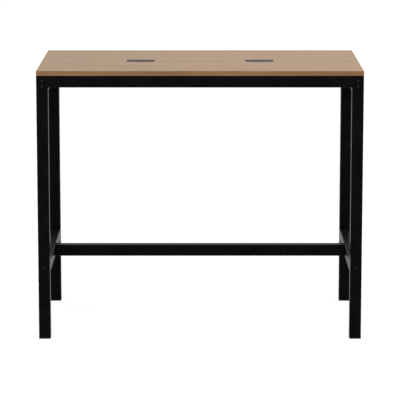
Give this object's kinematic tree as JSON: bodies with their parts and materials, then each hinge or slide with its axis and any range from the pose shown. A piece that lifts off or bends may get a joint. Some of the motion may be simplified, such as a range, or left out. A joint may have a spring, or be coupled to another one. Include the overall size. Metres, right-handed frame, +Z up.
{
  "type": "standing meeting table",
  "caption": "Bar-height rectangular meeting table with a wood-look top, flap-lidded cable ports, a square-tube frame, a low H-shaped footrest and levelling feet.",
  "frame": {"origin": "on the floor under the middle of the table", "axes": "+X along the tabletop's length to the right as seen from the front, +Y to the rear, +Z up"},
  "size_m": [1.2616, 0.7386, 1.05],
  "materials": {
    "walnut_laminate": "satin melamine face with a printed wood grain",
    "edge_band": "satin ABS edge band printed to match the top",
    "black_powder_coat": "satin black powder coat, fine texture",
    "plain_steel": "bare steel",
    "black_oxide_steel": "black oxide",
    "zinc_plated_steel": "bright zinc plating",
    "black_nylon": "moulded, fine spark-eroded texture",
    "black_abs": "moulded, satin"
  },
  "bodies": {
    "table": {"tabletop_board": "walnut_laminate", "edge_band_front": "edge_band", "edge_band_rear": "edge_band", "edge_band_left": "edge_band", "edge_band_right": "edge_band", "leg_front_left": "black_powder_coat", "leg_front_right": "black_powder_coat", "leg_rear_left": "black_powder_coat", "leg_rear_right": "black_powder_coat", "front_rail": "black_powder_coat", "rear_rail": "black_powder_coat", "side_rail_left": "black_powder_coat", "side_rail_right": "black_powder_coat", "side_stretcher_left": "black_powder_coat", "side_stretcher_right": "black_powder_coat", "footrest_crossbar": "black_powder_coat", "fixing_tabs": "black_powder_coat", "side_rail_end_plates": "plain_steel", "stretcher_end_plates": "plain_steel", "crossbar_end_plates": "plain_steel", "side_rail_bolts": "black_oxide_steel", "stretcher_bolts": "black_oxide_steel", "crossbar_bolts": "black_oxide_steel", "fixing_screws": "zinc_plated_steel", "cable_port_screws": "zinc_plated_steel", "foot_nuts": "zinc_plated_steel", "cable_port_pin_left": "zinc_plated_steel", "cable_port_pin_right": "zinc_plated_steel", "foot_cap_front_left": "black_nylon", "foot_cap_front_right": "black_nylon", "foot_cap_rear_left": "black_nylon", "foot_cap_rear_right": "black_nylon", "cable_port_frame_left": "black_abs", "cable_port_frame_right": "black_abs"},
    "port_lid_left": {"cable_port_lid_left": "black_abs"},
    "port_lid_right": {"cable_port_lid_right": "black_abs"},
    "foot_front_left": {"levelling_pad_front_left": "black_nylon", "levelling_stud_front_left": "zinc_plated_steel"},
    "foot_front_right": {"levelling_pad_front_right": "black_nylon", "levelling_stud_front_right": "zinc_plated_steel"},
    "foot_rear_left": {"levelling_pad_rear_left": "black_nylon", "levelling_stud_rear_left": "zinc_plated_steel"},
    "foot_rear_right": {"levelling_pad_rear_right": "black_nylon", "levelling_stud_rear_right": "zinc_plated_steel"}
  },
  "joints": [
    {"name": "port_lid_left_hinge", "type": "hinge", "parent": "table", "child": "port_lid_left", "pos_m": [-0.235, 0.0135, 1.0474], "axis": [-1, 0, 0], "range_deg": [0, 100]},
    {"name": "port_lid_right_hinge", "type": "hinge", "parent": "table", "child": "port_lid_right", "pos_m": [0.235, 0.0135, 1.0474], "axis": [-1, 0, 0], "range_deg": [0, 100]},
    {"name": "foot_front_left_slide", "type": "slide", "parent": "table", "child": "foot_front_left", "axis": [0, 0, -1], "range_m": [0, 0.01]},
    {"name": "foot_front_right_slide", "type": "slide", "parent": "table", "child": "foot_front_right", "axis": [0, 0, -1], "range_m": [0, 0.01]},
    {"name": "foot_rear_left_slide", "type": "slide", "parent": "table", "child": "foot_rear_left", "axis": [0, 0, -1], "range_m": [0, 0.01]},
    {"name": "foot_rear_right_slide", "type": "slide", "parent": "table", "child": "foot_rear_right", "axis": [0, 0, -1], "range_m": [0, 0.01]}
  ]
}
